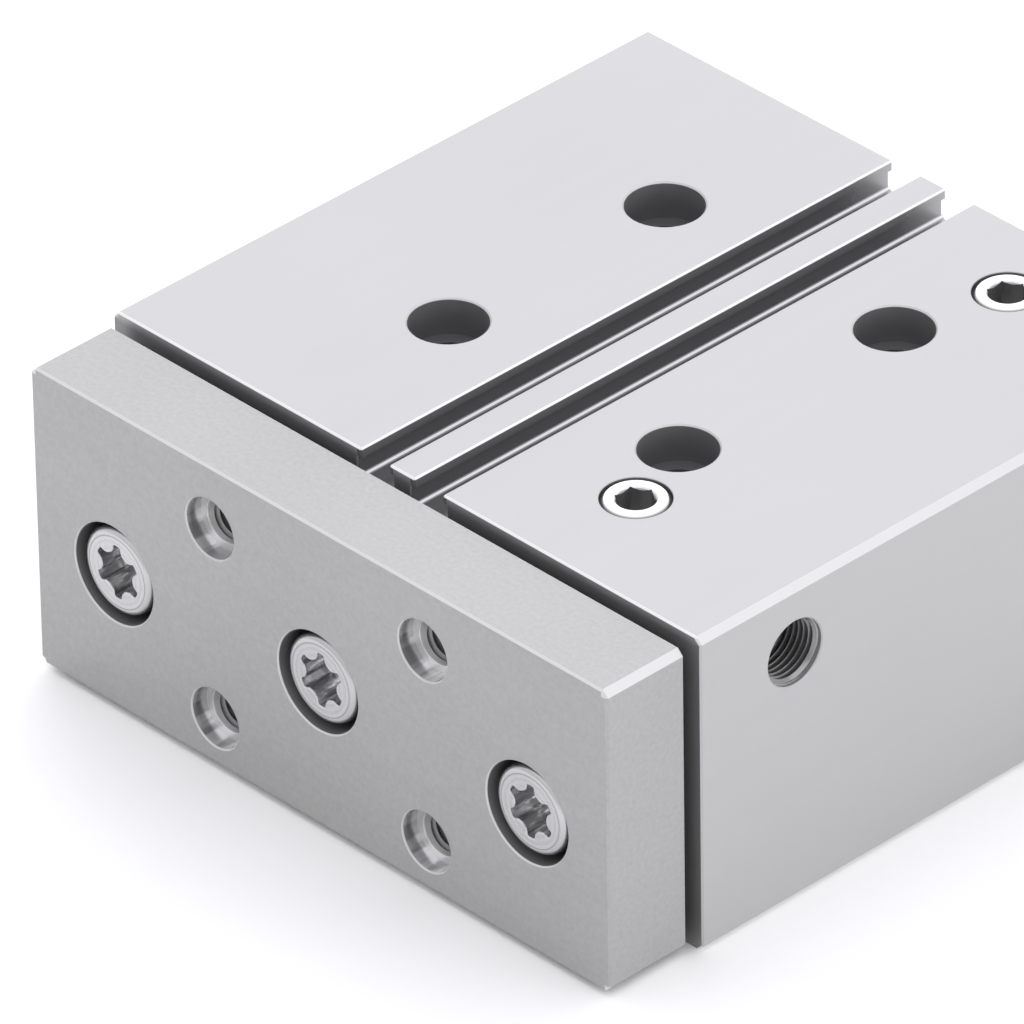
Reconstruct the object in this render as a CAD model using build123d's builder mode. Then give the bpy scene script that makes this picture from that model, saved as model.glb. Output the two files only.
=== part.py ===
from build123d import *
from math import cos, radians, sin
import os

# Compact guided pneumatic cylinder, in millimetres.
# The stroke axis runs along Y with the yoke plate at the front, towards -Y. Z is up.
# The origin is at the middle of the outer box, on the face that the body stands on.
# Depths are counted from the body's front face, backwards along Y.

# Body
body_width = 110.0
body_height = 49.0
corner_chamfer = 1.0
body_edge_break = 0.25
edge_break = 0.3
hole_break = 0.2
countersink_angle = 90.0

# Stroke and end positions
stroke = 40.0
end_clearance = 0.3
piston_length = 24.0

# Yoke plate, a little smaller than the body all round
plate_side_step = 1.0
plate_top_step = 1.0
plate_rise = 1.0
plate_thickness = 13.9
plate_gap = 1.9
plate_seat_depth = 2.0

# Threaded holes with centring recesses in the yoke plate
tool_outward = 0.5
tool_bottom_distance = 7.2
tool_top_distance = 9.8
tool_thread = 6.0
tool_mouth = 6.7
tool_recess = 9.0
tool_recess_depth = 2.7

# Yoke screws with six-lobe recesses
screw_thread = 8.0
screw_hole = 9.0
screw_length = 20.0
screw_head = 13.0
screw_head_height = 8.0
screw_head_round = 1.1
screw_sunk = 0.6
screw_counterbore = 15.0
screw_hole_spare = 3.0
lobe_across_tips = 8.2
lobe_across_flanks = 5.7
lobe_hollow_radius = 1.5
lobe_tip_round = 0.3
lobe_depth = 4.2
lobe_break = 0.12

# Cylinder bore, caps and retaining rings
bore_diameter = 32.0
bore_drop = 0.9
bore_mouth_chamfer = 0.4
ring_setback = 1.4
ring_thickness = 1.2
ring_groove_depth = 0.9
ring_radial_width = 2.9
ring_gap_half_angle = 20.0
ring_lug = 5.0
ring_lug_half_angle = 28.0
ring_lug_hole = 2.0
nose_length = 3.4
cushion_rod_gap = 1.5
cushion_width = 2.8
cushion_rim = 0.7
cushion_thickness = 2.2
cushion_proud = 1.0
cushion_chamfer = 0.4
cap_seal_section = 1.8
cap_seal_groove_width = 2.4
cap_seal_setback = 4.8
rear_cap_recess = 16.0
rear_cap_recess_depth = 1.5
rear_cap_pull_hole = 5.0
rear_cap_pull_depth = 7.0

# Piston rod with its bush, seal and wiper
rod_diameter = 12.0
rod_bush_wall = 1.0
rod_bush_length = 7.0
rod_wiper_section = 3.0
rod_wiper_width = 3.0
rod_wiper_lip = 1.0
rod_seal_section = 2.8
rod_seal_width = 3.0
rod_seal_land = 0.6
rod_cap_clearance = 0.5
lip_notch = 0.8
sliding_clearance = 0.02
seal_clearance = 0.05

# Piston
piston_clearance = 0.3
piston_seal_section = 3.6
piston_seal_width = 3.0
piston_seal_setback = 2.2
wear_ring_section = 1.4
wear_ring_width = 5.0
wear_ring_split = 1.0
magnet_cover = 2.2
magnet_section = 5.3
magnet_width = 4.0
rod_shank = 8.0
rod_shank_spare = 0.3
piston_screw_thread = 5.0
piston_screw_length = 10.0
piston_screw_head = 14.0
piston_screw_head_height = 4.0
piston_screw_sunk = 0.3
piston_screw_socket = 3.0
piston_screw_socket_depth = 2.0

# Guide rods with their bushes and wipers
guide_outward = 3.5
guide_drop = 2.5
guide_diameter = 16.0
guide_setback = 3.3
guide_end_chamfer = 1.0
guide_centre_hole = 3.0
guide_centre_depth = 4.0
bush_wall = 2.0
bush_length = 20.0
bush_chamfer = 0.5
bush_reserve = 1.0
guide_wiper_setback = 1.0
guide_wiper_width = 3.6
guide_wiper_lip = 1.2

# Ports, their plugs and the drilled air passages
port_thread = 9.73
side_port_mouth = 10.1
port_depth = 9.0
port_setback = {"front": 17.1, "rear": 12.4}
top_port_outward = 4.4
top_port_mouth = 9.9
side_port_rise = 15.1
passage_diameter = 4.0
down_passage_diameter = 5.0
down_passage_overrun = 1.0
passage_reach = 4.0
plug_length = 6.5
plug_sunk = 0.05
plug_face = 8.4
plug_socket = 5.0
plug_socket_depth = 3.6
plug_socket_turn = 30.0
plug_tail_chamfer = 0.6

# Mounting holes through the body
mount_inward = 1.0
mount_spacing_y = 40.0
mount_hole = 6.8
mount_counterbore = 11.0
mount_counterbore_depth = 5.6
mount_thread = 8.0
mount_thread_depth = 14.0
mount_thread_chamfer = 0.5

# Sensor slots along the top
slot_offset = 5.0
slot_opening = 5.2
slot_inner = 6.6
slot_lip = 1.5
slot_depth = 4.8
slot_corner = 0.5

# Sizes that follow from the ones above.
# Heights count from the body's bottom face and widths from its middle plane.
bore_height = body_height / 2 - bore_drop
guide_height = body_height / 2 - guide_drop
guide_spacing = body_width / 2 + bore_diameter / 2 + 2 * guide_outward
bush_outer = guide_diameter + 2 * bush_wall
mount_spacing_x = bore_diameter / 2 + (guide_spacing - bush_outer) / 2 - 2 * mount_inward
plate_width = body_width - 2 * plate_side_step
plate_height = body_height - plate_rise - plate_top_step
tool_spacing_x = guide_spacing / 2 + 2 * tool_outward
tool_spacing_z = plate_height - tool_bottom_distance - tool_top_distance
tool_height = plate_rise + tool_bottom_distance + tool_spacing_z / 2
top_port_x = mount_spacing_x / 2 + top_port_outward
side_port_height = bore_height + side_port_rise
ring_groove = bore_diameter + 2 * ring_groove_depth
cushion_inner = rod_diameter + 2 * cushion_rod_gap
cushion_outer = cushion_inner + 2 * cushion_width
nose_diameter = cushion_outer + 2 * cushion_rim
rod_bush_outer = rod_diameter + 2 * rod_bush_wall
rod_wiper_outer = rod_diameter + 2 * rod_wiper_section
rod_seal_outer = rod_diameter + 2 * rod_seal_section
piston_seal_bottom = bore_diameter - 2 * piston_seal_section
wear_ring_bottom = bore_diameter - 2 * wear_ring_section
magnet_outer = bore_diameter - 2 * magnet_cover
magnet_inner = magnet_outer - 2 * magnet_section
cap_land = {
    end: setback - passage_diameter / 2 - end_clearance
    for end, setback in port_setback.items()
}
nose_end = {end: land + nose_length for end, land in cap_land.items()}
cap_seal_start = {end: land - cap_seal_setback for end, land in cap_land.items()}
stop_depth = {end: nose + cushion_proud for end, nose in nose_end.items()}
body_length = sum(stop_depth.values()) + piston_length + stroke + 2 * end_clearance
overall_length = plate_thickness + plate_gap + body_length
plate_front = -overall_length / 2
plate_back = plate_front + plate_thickness
body_front = plate_back + plate_gap
body_back = body_front + body_length
body_middle = (body_front + body_back) / 2
cap_face = ring_setback + ring_thickness
seal_groove_bottom = bore_diameter - 2 * cap_seal_section
screw_seat = screw_sunk + screw_head_height
screw_tip = screw_seat + screw_length
rod_front = -plate_gap - plate_seat_depth
piston_rear = body_length - stop_depth["rear"] - end_clearance
piston_front = piston_rear - piston_length
piston_half = piston_length / 2
piston_middle = piston_front + piston_half
piston_screw_seat = piston_screw_sunk + piston_screw_head_height
shank_end = piston_rear - piston_screw_seat - rod_shank_spare
guide_end = body_length - guide_setback
front_bush_start = guide_wiper_setback + guide_wiper_width
rear_bush_start = guide_end - stroke - bush_reserve - bush_length
wiper_end = cap_face + rod_wiper_width
bush_end = wiper_end + rod_bush_length
rod_seal_start = bush_end + rod_seal_land
cushion_seat = cushion_thickness - cushion_proud
thread_bottom = screw_tip - plate_thickness - plate_gap + screw_hole_spare

# Turned pieces are drawn as radius and depth on planes through their axis.
# A rear plane is turned over, so that its depths run forwards.
bore_axis = Axis((0, body_front, bore_height), (0, 1, 0))
bore_planes = {
    "front": Plane((0, body_front, bore_height), (1, 0, 0), (0, 0, 1)),
    "rear": Plane((0, body_back, bore_height), (1, 0, 0), (0, 0, -1)),
}
piston_planes = {
    "front": Plane((0, body_front + piston_front, bore_height), (1, 0, 0), (0, 0, 1)),
    "rear": Plane((0, body_front + piston_rear, bore_height), (1, 0, 0), (0, 0, -1)),
}
sides = {"left": -guide_spacing / 2, "right": guide_spacing / 2}
guide_planes = {
    side: Plane(origin=(x, body_front, guide_height)) for side, x in sides.items()
}
guide_axes = {
    side: Axis((x, body_front, guide_height), (0, 1, 0)) for side, x in sides.items()
}
ports = {
    "front": body_front + port_setback["front"],
    "rear": body_back - port_setback["rear"],
}

os.makedirs("parts", exist_ok=True)


def facing_front(y):
    """Plane across the stroke axis at y. Its own axes are X and Z."""
    return Plane.XZ.offset(-y)


def ring_section(inner, outer, start, end, mode=Mode.ADD):
    """Half section of a turned ring, from its two diameters and two depths."""
    Polygon(
        (inner / 2, start),
        (outer / 2, start),
        (outer / 2, end),
        (inner / 2, end),
        align=None,
        mode=mode,
    )


def lip_ring_section(inner, outer, start, end, lip):
    """Half section of a seal whose inner edge thins to a lip at its start."""
    Polygon(
        (inner / 2, start),
        (inner / 2 + lip / 2, start),
        (inner / 2 + lip, start + lip),
        (outer / 2, start + lip),
        (outer / 2, end),
        (inner / 2 + lip / 2, end),
        (inner / 2, end - lip / 2),
        align=None,
    )


def notched_ring_section(inner, outer, start, end):
    """Half section of a lip seal, with a groove in the face at its start."""
    middle = (inner + outer) / 4
    notch_bottom = start + lip_notch if end > start else start - lip_notch
    Polygon(
        (inner / 2, start),
        (middle - lip_notch / 2, start),
        (middle, notch_bottom),
        (middle + lip_notch / 2, start),
        (outer / 2, start),
        (outer / 2, end),
        (inner / 2, end),
        align=None,
    )


def six_lobes():
    """Outline of the six-lobe driver recess, with two tips on the vertical."""
    Circle(lobe_across_tips / 2)
    with PolarLocations(lobe_across_flanks / 2 + lobe_hollow_radius, 6):
        Circle(lobe_hollow_radius, mode=Mode.SUBTRACT)


def mouth_edges(piece, axis, last):
    """Round edges of the flat face that ends a piece along an axis."""
    faces = piece.faces().filter_by(axis).group_by(axis)
    return faces[-1 if last else 0].edges().filter_by(GeomType.CIRCLE)


# Housing
with BuildPart() as housing:
    with BuildSketch(facing_front(body_front)) as body_outline:
        Rectangle(body_width, body_height, align=(Align.CENTER, Align.MIN))
        chamfer(body_outline.vertices(), corner_chamfer)
    extrude(amount=-body_length)

    # Two T-slots for sensors, with eased corners at the floor
    with BuildSketch(facing_front(body_front)):
        with Locations((-slot_offset, body_height), (slot_offset, body_height)):
            Rectangle(slot_opening, slot_lip, align=(Align.CENTER, Align.MAX))
        with Locations(
            (-slot_offset, body_height - slot_lip),
            (slot_offset, body_height - slot_lip),
        ):
            Rectangle(
                slot_inner, slot_depth - slot_lip, align=(Align.CENTER, Align.MAX)
            )
    extrude(amount=-body_length, mode=Mode.SUBTRACT)
    slot_floor = housing.faces().filter_by(Plane.XY).group_by(Axis.Z)[-3]
    chamfer(slot_floor.edges().filter_by(Axis.Y), slot_corner)
    slot_top = housing.edges().filter_by(Axis.Y).group_by(Axis.Z)[-1]
    slot_mouth = slot_top.filter_by(
        lambda edge: abs(edge.center().X) < slot_offset + slot_opening
    )
    chamfer(slot_mouth, body_edge_break)
    chamfer(housing.faces().filter_by(Axis.Y).edges(), body_edge_break)

    # Cylinder bore with a groove for each retaining ring
    with BuildSketch(facing_front(body_front)):
        with Locations((0, bore_height)):
            Circle(bore_diameter / 2)
        with Locations(*[(x, guide_height) for x in sides.values()]):
            Circle(bush_outer / 2)
    extrude(amount=-body_length, mode=Mode.SUBTRACT)
    chamfer(mouth_edges(housing, Axis.Y, False), bore_mouth_chamfer)
    chamfer(mouth_edges(housing, Axis.Y, True), bore_mouth_chamfer)
    for plane in bore_planes.values():
        with BuildSketch(plane):
            ring_section(0, ring_groove, ring_setback, cap_face)
        revolve(axis=bore_axis, mode=Mode.SUBTRACT)

    # Mounting holes, counterbored on top and tapped from below
    with Locations((0, body_middle, body_height)):
        with GridLocations(mount_spacing_x, mount_spacing_y, 2, 2):
            CounterBoreHole(
                mount_hole / 2, mount_counterbore / 2, mount_counterbore_depth
            )
    chamfer(mouth_edges(housing, Axis.Z, True), hole_break)
    with Locations(Plane((0, body_middle, 0), z_dir=(0, 0, -1))):
        with GridLocations(mount_spacing_x, mount_spacing_y, 2, 2):
            CounterSinkHole(
                mount_thread / 2,
                mount_thread / 2 + mount_thread_chamfer,
                mount_thread_depth,
                countersink_angle,
            )

    # Ports on top and on the right side, joined to the bore by drilled passages
    for port_y in ports.values():
        with Locations((top_port_x, port_y, body_height)):
            CounterSinkHole(
                port_thread / 2, top_port_mouth / 2, port_depth, countersink_angle
            )
            Hole(
                down_passage_diameter / 2,
                body_height - side_port_height + down_passage_overrun,
            )
        with Locations(Plane.YZ.offset(body_width / 2)):
            with Locations((port_y, side_port_height)):
                CounterSinkHole(
                    port_thread / 2, side_port_mouth / 2, port_depth, countersink_angle
                )
                Hole(passage_diameter / 2, body_width / 2 - passage_reach)
housing.part.label = "housing"
export_step(housing.part, "parts/housing.step")

# Yoke plate
with BuildPart() as yoke_plate:
    with BuildSketch(facing_front(plate_front)) as plate_outline:
        with Locations((0, plate_rise)):
            Rectangle(plate_width, plate_height, align=(Align.CENTER, Align.MIN))
        chamfer(plate_outline.vertices(), corner_chamfer)
    extrude(amount=-plate_thickness)
    chamfer(yoke_plate.faces().filter_by(Axis.Y).edges(), edge_break)

    # Counterbored screw holes, with a seat for each rod on the back
    screw_spots = [(0, bore_height)] + [(x, guide_height) for x in sides.values()]
    with Locations(facing_front(plate_front)):
        with Locations(*screw_spots):
            CounterBoreHole(screw_hole / 2, screw_counterbore / 2, screw_seat)
    with BuildSketch(facing_front(plate_back)):
        with Locations((0, bore_height)):
            Circle(rod_diameter / 2)
        with Locations(*screw_spots[1:]):
            Circle(guide_diameter / 2)
    extrude(amount=plate_seat_depth, mode=Mode.SUBTRACT)

    # Threaded holes with a centring recess and an eased mouth
    with Locations(facing_front(plate_front)):
        with Locations((0, tool_height)):
            with GridLocations(tool_spacing_x, tool_spacing_z, 2, 2):
                Hole(tool_recess / 2, tool_recess_depth)
    chamfer(mouth_edges(yoke_plate, Axis.Y, False), hole_break)
    with Locations(facing_front(plate_front + tool_recess_depth)):
        with Locations((0, tool_height)):
            with GridLocations(tool_spacing_x, tool_spacing_z, 2, 2):
                CounterSinkHole(
                    tool_thread / 2,
                    tool_mouth / 2,
                    counter_sink_angle=countersink_angle,
                )
yoke_plate.part.label = "yoke_plate"
export_step(yoke_plate.part, "parts/yoke_plate.step")

# Yoke screws
yoke_screws = {
    "yoke_screw_centre": (0, bore_height),
    "yoke_screw_left": (sides["left"], guide_height),
    "yoke_screw_right": (sides["right"], guide_height),
}
for name, spot in yoke_screws.items():
    with BuildPart() as yoke_screw:
        with BuildSketch(facing_front(plate_front + screw_sunk)):
            with Locations(spot):
                Circle(screw_head / 2)
        extrude(amount=-screw_head_height)
        fillet(mouth_edges(yoke_screw, Axis.Y, False), screw_head_round)
        with BuildSketch(facing_front(plate_front + screw_seat)):
            with Locations(spot):
                Circle(screw_thread / 2)
        extrude(amount=-screw_length)
        chamfer(mouth_edges(yoke_screw, Axis.Y, True), edge_break)
        with BuildSketch(facing_front(plate_front + screw_sunk)) as recess:
            with Locations(spot):
                six_lobes()
            fillet(recess.vertices(), lobe_tip_round)
        extrude(amount=-lobe_depth, mode=Mode.SUBTRACT)
        head_face = yoke_screw.faces().filter_by(Axis.Y).sort_by(Axis.Y)[0]
        chamfer(head_face.inner_wires()[0].edges(), lobe_break)
    yoke_screw.part.label = name
    export_step(yoke_screw.part, f"parts/{name}.step")

# Front cap, which carries the rod's wiper, bush and seal
with BuildPart() as front_cap:
    with BuildSketch(bore_planes["front"]):
        ring_section(0, bore_diameter, cap_face, cap_land["front"])
        ring_section(0, nose_diameter, cap_land["front"], nose_end["front"])
        rod_way = rod_diameter + 2 * rod_cap_clearance
        ring_section(0, rod_way, cap_face, nose_end["front"], Mode.SUBTRACT)
        ring_section(0, rod_wiper_outer, cap_face, wiper_end, Mode.SUBTRACT)
        ring_section(0, rod_bush_outer, wiper_end, bush_end, Mode.SUBTRACT)
        ring_section(
            0,
            rod_seal_outer,
            rod_seal_start,
            rod_seal_start + rod_seal_width,
            Mode.SUBTRACT,
        )
        ring_section(
            cushion_inner,
            cushion_outer,
            nose_end["front"] - cushion_seat,
            nose_end["front"],
            Mode.SUBTRACT,
        )
        ring_section(
            seal_groove_bottom,
            bore_diameter,
            cap_seal_start["front"],
            cap_seal_start["front"] + cap_seal_groove_width,
            Mode.SUBTRACT,
        )
    revolve(axis=bore_axis)
front_cap.part.label = "front_cap"
export_step(front_cap.part, "parts/front_cap.step")

# Rear cap, closed, with a turned recess and a threaded hole to pull it out by
with BuildPart() as rear_cap:
    with BuildSketch(bore_planes["rear"]):
        ring_section(0, bore_diameter, cap_face, cap_land["rear"])
        ring_section(0, nose_diameter, cap_land["rear"], nose_end["rear"])
        ring_section(
            0,
            rear_cap_recess,
            cap_face,
            cap_face + rear_cap_recess_depth,
            Mode.SUBTRACT,
        )
        ring_section(
            0,
            rear_cap_pull_hole,
            cap_face,
            cap_face + rear_cap_pull_depth,
            Mode.SUBTRACT,
        )
        ring_section(
            cushion_inner,
            cushion_outer,
            nose_end["rear"] - cushion_seat,
            nose_end["rear"],
            Mode.SUBTRACT,
        )
        ring_section(
            seal_groove_bottom,
            bore_diameter,
            cap_seal_start["rear"],
            cap_seal_start["rear"] + cap_seal_groove_width,
            Mode.SUBTRACT,
        )
    revolve(axis=bore_axis)
rear_cap.part.label = "rear_cap"
export_step(rear_cap.part, "parts/rear_cap.step")

# What both caps have: a sealing ring, a retaining ring and an elastic stop
for end, plane in bore_planes.items():
    with BuildPart() as cap_seal:
        with BuildSketch(plane):
            section_centre = (
                (seal_groove_bottom + cap_seal_section) / 2,
                cap_seal_start[end] + cap_seal_groove_width / 2,
            )
            with Locations(section_centre):
                Circle(cap_seal_section / 2)
        revolve(axis=bore_axis)
    cap_seal.part.label = f"{end}_cap_seal"
    export_step(cap_seal.part, f"parts/{end}_cap_seal.step")

    with BuildPart() as cushion:
        with BuildSketch(plane) as cushion_half:
            ring_section(
                cushion_inner,
                cushion_outer,
                nose_end[end] - cushion_seat,
                stop_depth[end],
            )
            chamfer(
                cushion_half.vertices().group_by(Axis.Y)[-1], cushion_chamfer
            )
        revolve(axis=bore_axis)
    cushion.part.label = f"{end}_cushion"
    export_step(cushion.part, f"parts/{end}_cushion.step")

    ring_face = {
        "front": body_front + ring_setback,
        "rear": body_back - cap_face,
    }[end]
    ring_inner_radius = ring_groove / 2 - ring_radial_width
    with BuildPart() as retaining_ring:
        with BuildSketch(facing_front(ring_face)):
            with Locations((0, bore_height)):
                Circle(ring_groove / 2)
                Circle(ring_inner_radius, mode=Mode.SUBTRACT)
                lug_spots = [
                    (
                        side * ring_inner_radius * sin(radians(ring_lug_half_angle)),
                        -ring_inner_radius * cos(radians(ring_lug_half_angle)),
                    )
                    for side in (-1, 1)
                ]
                with Locations(*lug_spots):
                    Circle(ring_lug / 2)
                    Circle(ring_lug_hole / 2, mode=Mode.SUBTRACT)
                gap_reach = ring_groove
                gap_half = gap_reach * sin(radians(ring_gap_half_angle))
                gap_drop = gap_reach * cos(radians(ring_gap_half_angle))
                Polygon(
                    (0, 0),
                    (-gap_half, -gap_drop),
                    (gap_half, -gap_drop),
                    align=None,
                    mode=Mode.SUBTRACT,
                )
        extrude(amount=-ring_thickness)
    retaining_ring.part.label = f"{end}_retaining_ring"
    export_step(retaining_ring.part, f"parts/{end}_retaining_ring.step")

# Bush, seal and wiper of the piston rod
with BuildPart() as rod_bush:
    with BuildSketch(bore_planes["front"]):
        ring_section(
            rod_diameter + 2 * sliding_clearance, rod_bush_outer, wiper_end, bush_end
        )
    revolve(axis=bore_axis)
rod_bush.part.label = "rod_bush"
export_step(rod_bush.part, "parts/rod_bush.step")

with BuildPart() as rod_wiper:
    with BuildSketch(bore_planes["front"]):
        lip_ring_section(
            rod_diameter + 2 * seal_clearance,
            rod_wiper_outer,
            cap_face,
            wiper_end,
            rod_wiper_lip,
        )
    revolve(axis=bore_axis)
rod_wiper.part.label = "rod_wiper"
export_step(rod_wiper.part, "parts/rod_wiper.step")

with BuildPart() as rod_seal:
    with BuildSketch(bore_planes["front"]):
        notched_ring_section(
            rod_diameter + 2 * seal_clearance,
            rod_seal_outer,
            rod_seal_start + rod_seal_width,
            rod_seal_start,
        )
    revolve(axis=bore_axis)
rod_seal.part.label = "rod_seal"
export_step(rod_seal.part, "parts/rod_seal.step")

# Piston rod, with the yoke screw's hole in front and a thin shank at the piston
with BuildPart() as piston_rod:
    with BuildSketch(bore_planes["front"]):
        ring_section(0, rod_diameter, rod_front, piston_front)
        ring_section(0, rod_shank, piston_front, shank_end)
        ring_section(0, screw_thread, rod_front, thread_bottom, Mode.SUBTRACT)
        ring_section(
            0,
            piston_screw_thread,
            shank_end - piston_screw_length,
            shank_end,
            Mode.SUBTRACT,
        )
    revolve(axis=bore_axis)
piston_rod.part.label = "piston_rod"
export_step(piston_rod.part, "parts/piston_rod.step")

# Piston, in two halves clamped round the magnet, each with its own seal
for end, plane in piston_planes.items():
    with BuildPart() as piston_side:
        with BuildSketch(plane):
            ring_section(
                rod_shank, bore_diameter - 2 * piston_clearance, 0, piston_half
            )
            ring_section(
                piston_seal_bottom,
                bore_diameter,
                piston_seal_setback,
                piston_seal_setback + piston_seal_width,
                Mode.SUBTRACT,
            )
            ring_section(
                wear_ring_bottom,
                bore_diameter,
                piston_half - wear_ring_width / 2,
                piston_half,
                Mode.SUBTRACT,
            )
            ring_section(
                magnet_inner,
                magnet_outer,
                piston_half - magnet_width / 2,
                piston_half,
                Mode.SUBTRACT,
            )
            if end == "rear":
                ring_section(
                    0, piston_screw_head, 0, piston_screw_seat, Mode.SUBTRACT
                )
        revolve(axis=bore_axis)
    piston_side.part.label = f"piston_{end}"
    export_step(piston_side.part, f"parts/piston_{end}.step")

    with BuildPart() as piston_seal:
        with BuildSketch(plane):
            notched_ring_section(
                piston_seal_bottom,
                bore_diameter - 2 * seal_clearance,
                piston_seal_setback,
                piston_seal_setback + piston_seal_width,
            )
        revolve(axis=bore_axis)
    piston_seal.part.label = f"piston_seal_{end}"
    export_step(piston_seal.part, f"parts/piston_seal_{end}.step")

with BuildPart() as piston_magnet:
    with BuildSketch(bore_planes["front"]):
        ring_section(
            magnet_inner,
            magnet_outer,
            piston_middle - magnet_width / 2,
            piston_middle + magnet_width / 2,
        )
    revolve(axis=bore_axis)
piston_magnet.part.label = "piston_magnet"
export_step(piston_magnet.part, "parts/piston_magnet.step")

with BuildPart() as piston_wear_ring:
    with BuildSketch(bore_planes["front"]):
        ring_section(
            wear_ring_bottom,
            bore_diameter - 2 * seal_clearance,
            piston_middle - wear_ring_width / 2,
            piston_middle + wear_ring_width / 2,
        )
    revolve(axis=bore_axis)
    with BuildSketch(bore_planes["front"].offset(wear_ring_bottom / 4)):
        with Locations((0, piston_middle)):
            Rectangle(wear_ring_split, wear_ring_width)
    extrude(amount=bore_diameter / 2, mode=Mode.SUBTRACT)
piston_wear_ring.part.label = "piston_wear_ring"
export_step(piston_wear_ring.part, "parts/piston_wear_ring.step")

with BuildPart() as piston_screw:
    with BuildSketch(bore_planes["front"]):
        head_end = piston_rear - piston_screw_sunk
        head_start = head_end - piston_screw_head_height
        ring_section(0, piston_screw_head, head_start, head_end)
        ring_section(
            0, piston_screw_thread, head_start - piston_screw_length, head_start
        )
    revolve(axis=bore_axis)
    with BuildSketch(facing_front(body_front + head_end)):
        with Locations((0, bore_height)):
            RegularPolygon(piston_screw_socket / 2, 6, major_radius=False)
    extrude(amount=piston_screw_socket_depth, mode=Mode.SUBTRACT)
piston_screw.part.label = "piston_screw"
export_step(piston_screw.part, "parts/piston_screw.step")

# Guide rods with their bushes and wipers
for side, plane in guide_planes.items():
    axis = guide_axes[side]
    with BuildPart() as guide_rod:
        with BuildSketch(plane) as guide_half:
            ring_section(0, guide_diameter, rod_front, guide_end)
            outer_corner = guide_half.vertices().group_by(Axis.Y)[-1].sort_by(Axis.X)[-1]
            chamfer(outer_corner, guide_end_chamfer)
            ring_section(0, screw_thread, rod_front, thread_bottom, Mode.SUBTRACT)
            ring_section(
                0,
                guide_centre_hole,
                guide_end - guide_centre_depth,
                guide_end,
                Mode.SUBTRACT,
            )
        revolve(axis=axis)
    guide_rod.part.label = f"guide_rod_{side}"
    export_step(guide_rod.part, f"parts/guide_rod_{side}.step")

    for end, start in (("front", front_bush_start), ("rear", rear_bush_start)):
        with BuildPart() as guide_bush:
            with BuildSketch(plane) as bush_half:
                ring_section(
                    guide_diameter + 2 * sliding_clearance,
                    bush_outer,
                    start,
                    start + bush_length,
                )
                chamfer(bush_half.vertices().group_by(Axis.X)[0], bush_chamfer)
            revolve(axis=axis)
        guide_bush.part.label = f"guide_bush_{side}_{end}"
        export_step(guide_bush.part, f"parts/guide_bush_{side}_{end}.step")

    with BuildPart() as guide_wiper:
        with BuildSketch(plane):
            lip_ring_section(
                guide_diameter + 2 * seal_clearance,
                bush_outer,
                guide_wiper_setback,
                front_bush_start,
                guide_wiper_lip,
            )
        revolve(axis=axis)
    guide_wiper.part.label = f"guide_wiper_{side}"
    export_step(guide_wiper.part, f"parts/guide_wiper_{side}.step")

# Screw plugs that close the ports on top
for end, port_y in ports.items():
    plug_top = Plane.XY.offset(body_height - plug_sunk)
    with BuildPart() as port_plug:
        with BuildSketch(plug_top):
            with Locations((top_port_x, port_y)):
                Circle(port_thread / 2)
        extrude(amount=-plug_length)
        chamfer(mouth_edges(port_plug, Axis.Z, True), (port_thread - plug_face) / 2)
        chamfer(mouth_edges(port_plug, Axis.Z, False), plug_tail_chamfer)
        with BuildSketch(plug_top):
            with Locations((top_port_x, port_y)):
                RegularPolygon(
                    plug_socket / 2, 6, major_radius=False, rotation=plug_socket_turn
                )
        extrude(amount=-plug_socket_depth, mode=Mode.SUBTRACT)
        socket_corner = plug_socket / 2 / cos(radians(30))
        with BuildSketch(plug_top):
            with Locations((top_port_x, port_y)):
                Circle(socket_corner)
        extrude(amount=plug_socket / 2 - socket_corner, taper=45, mode=Mode.SUBTRACT)
    port_plug.part.label = f"port_plug_{end}"
    export_step(port_plug.part, f"parts/port_plug_{end}.step")
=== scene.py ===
from math import pi, radians

import bpy
from mathutils import Euler, Matrix, Vector


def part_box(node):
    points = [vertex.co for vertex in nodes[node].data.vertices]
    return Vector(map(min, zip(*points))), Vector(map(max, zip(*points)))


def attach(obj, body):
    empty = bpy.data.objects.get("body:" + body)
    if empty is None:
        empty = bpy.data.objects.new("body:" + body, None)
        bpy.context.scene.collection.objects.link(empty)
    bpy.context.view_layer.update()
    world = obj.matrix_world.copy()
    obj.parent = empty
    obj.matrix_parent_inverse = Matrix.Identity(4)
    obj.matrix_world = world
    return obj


# Guided pneumatic cylinder: finishes, cut threads, light and camera around the CAD frame.
# Everything is in metres, in the frame's own axes: the yoke plate faces -Y and Z is up.
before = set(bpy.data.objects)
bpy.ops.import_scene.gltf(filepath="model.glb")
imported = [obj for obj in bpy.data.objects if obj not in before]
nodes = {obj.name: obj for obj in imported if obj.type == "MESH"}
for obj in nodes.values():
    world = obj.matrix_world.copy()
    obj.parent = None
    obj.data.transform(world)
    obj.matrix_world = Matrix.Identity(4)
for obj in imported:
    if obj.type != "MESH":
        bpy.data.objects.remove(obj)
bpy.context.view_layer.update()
scene = bpy.context.scene
mm = 0.001
fine = 0.01 * mm
print("frame loaded:", len(nodes), "nodes")

bodyLow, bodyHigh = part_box("housing")
plateLow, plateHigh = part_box("yoke_plate")
bodyMiddle = (bodyLow.y + bodyHigh.y) / 2


def middleOf(nodeName):
    low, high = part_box(nodeName)
    return (low + high) / 2


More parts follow.
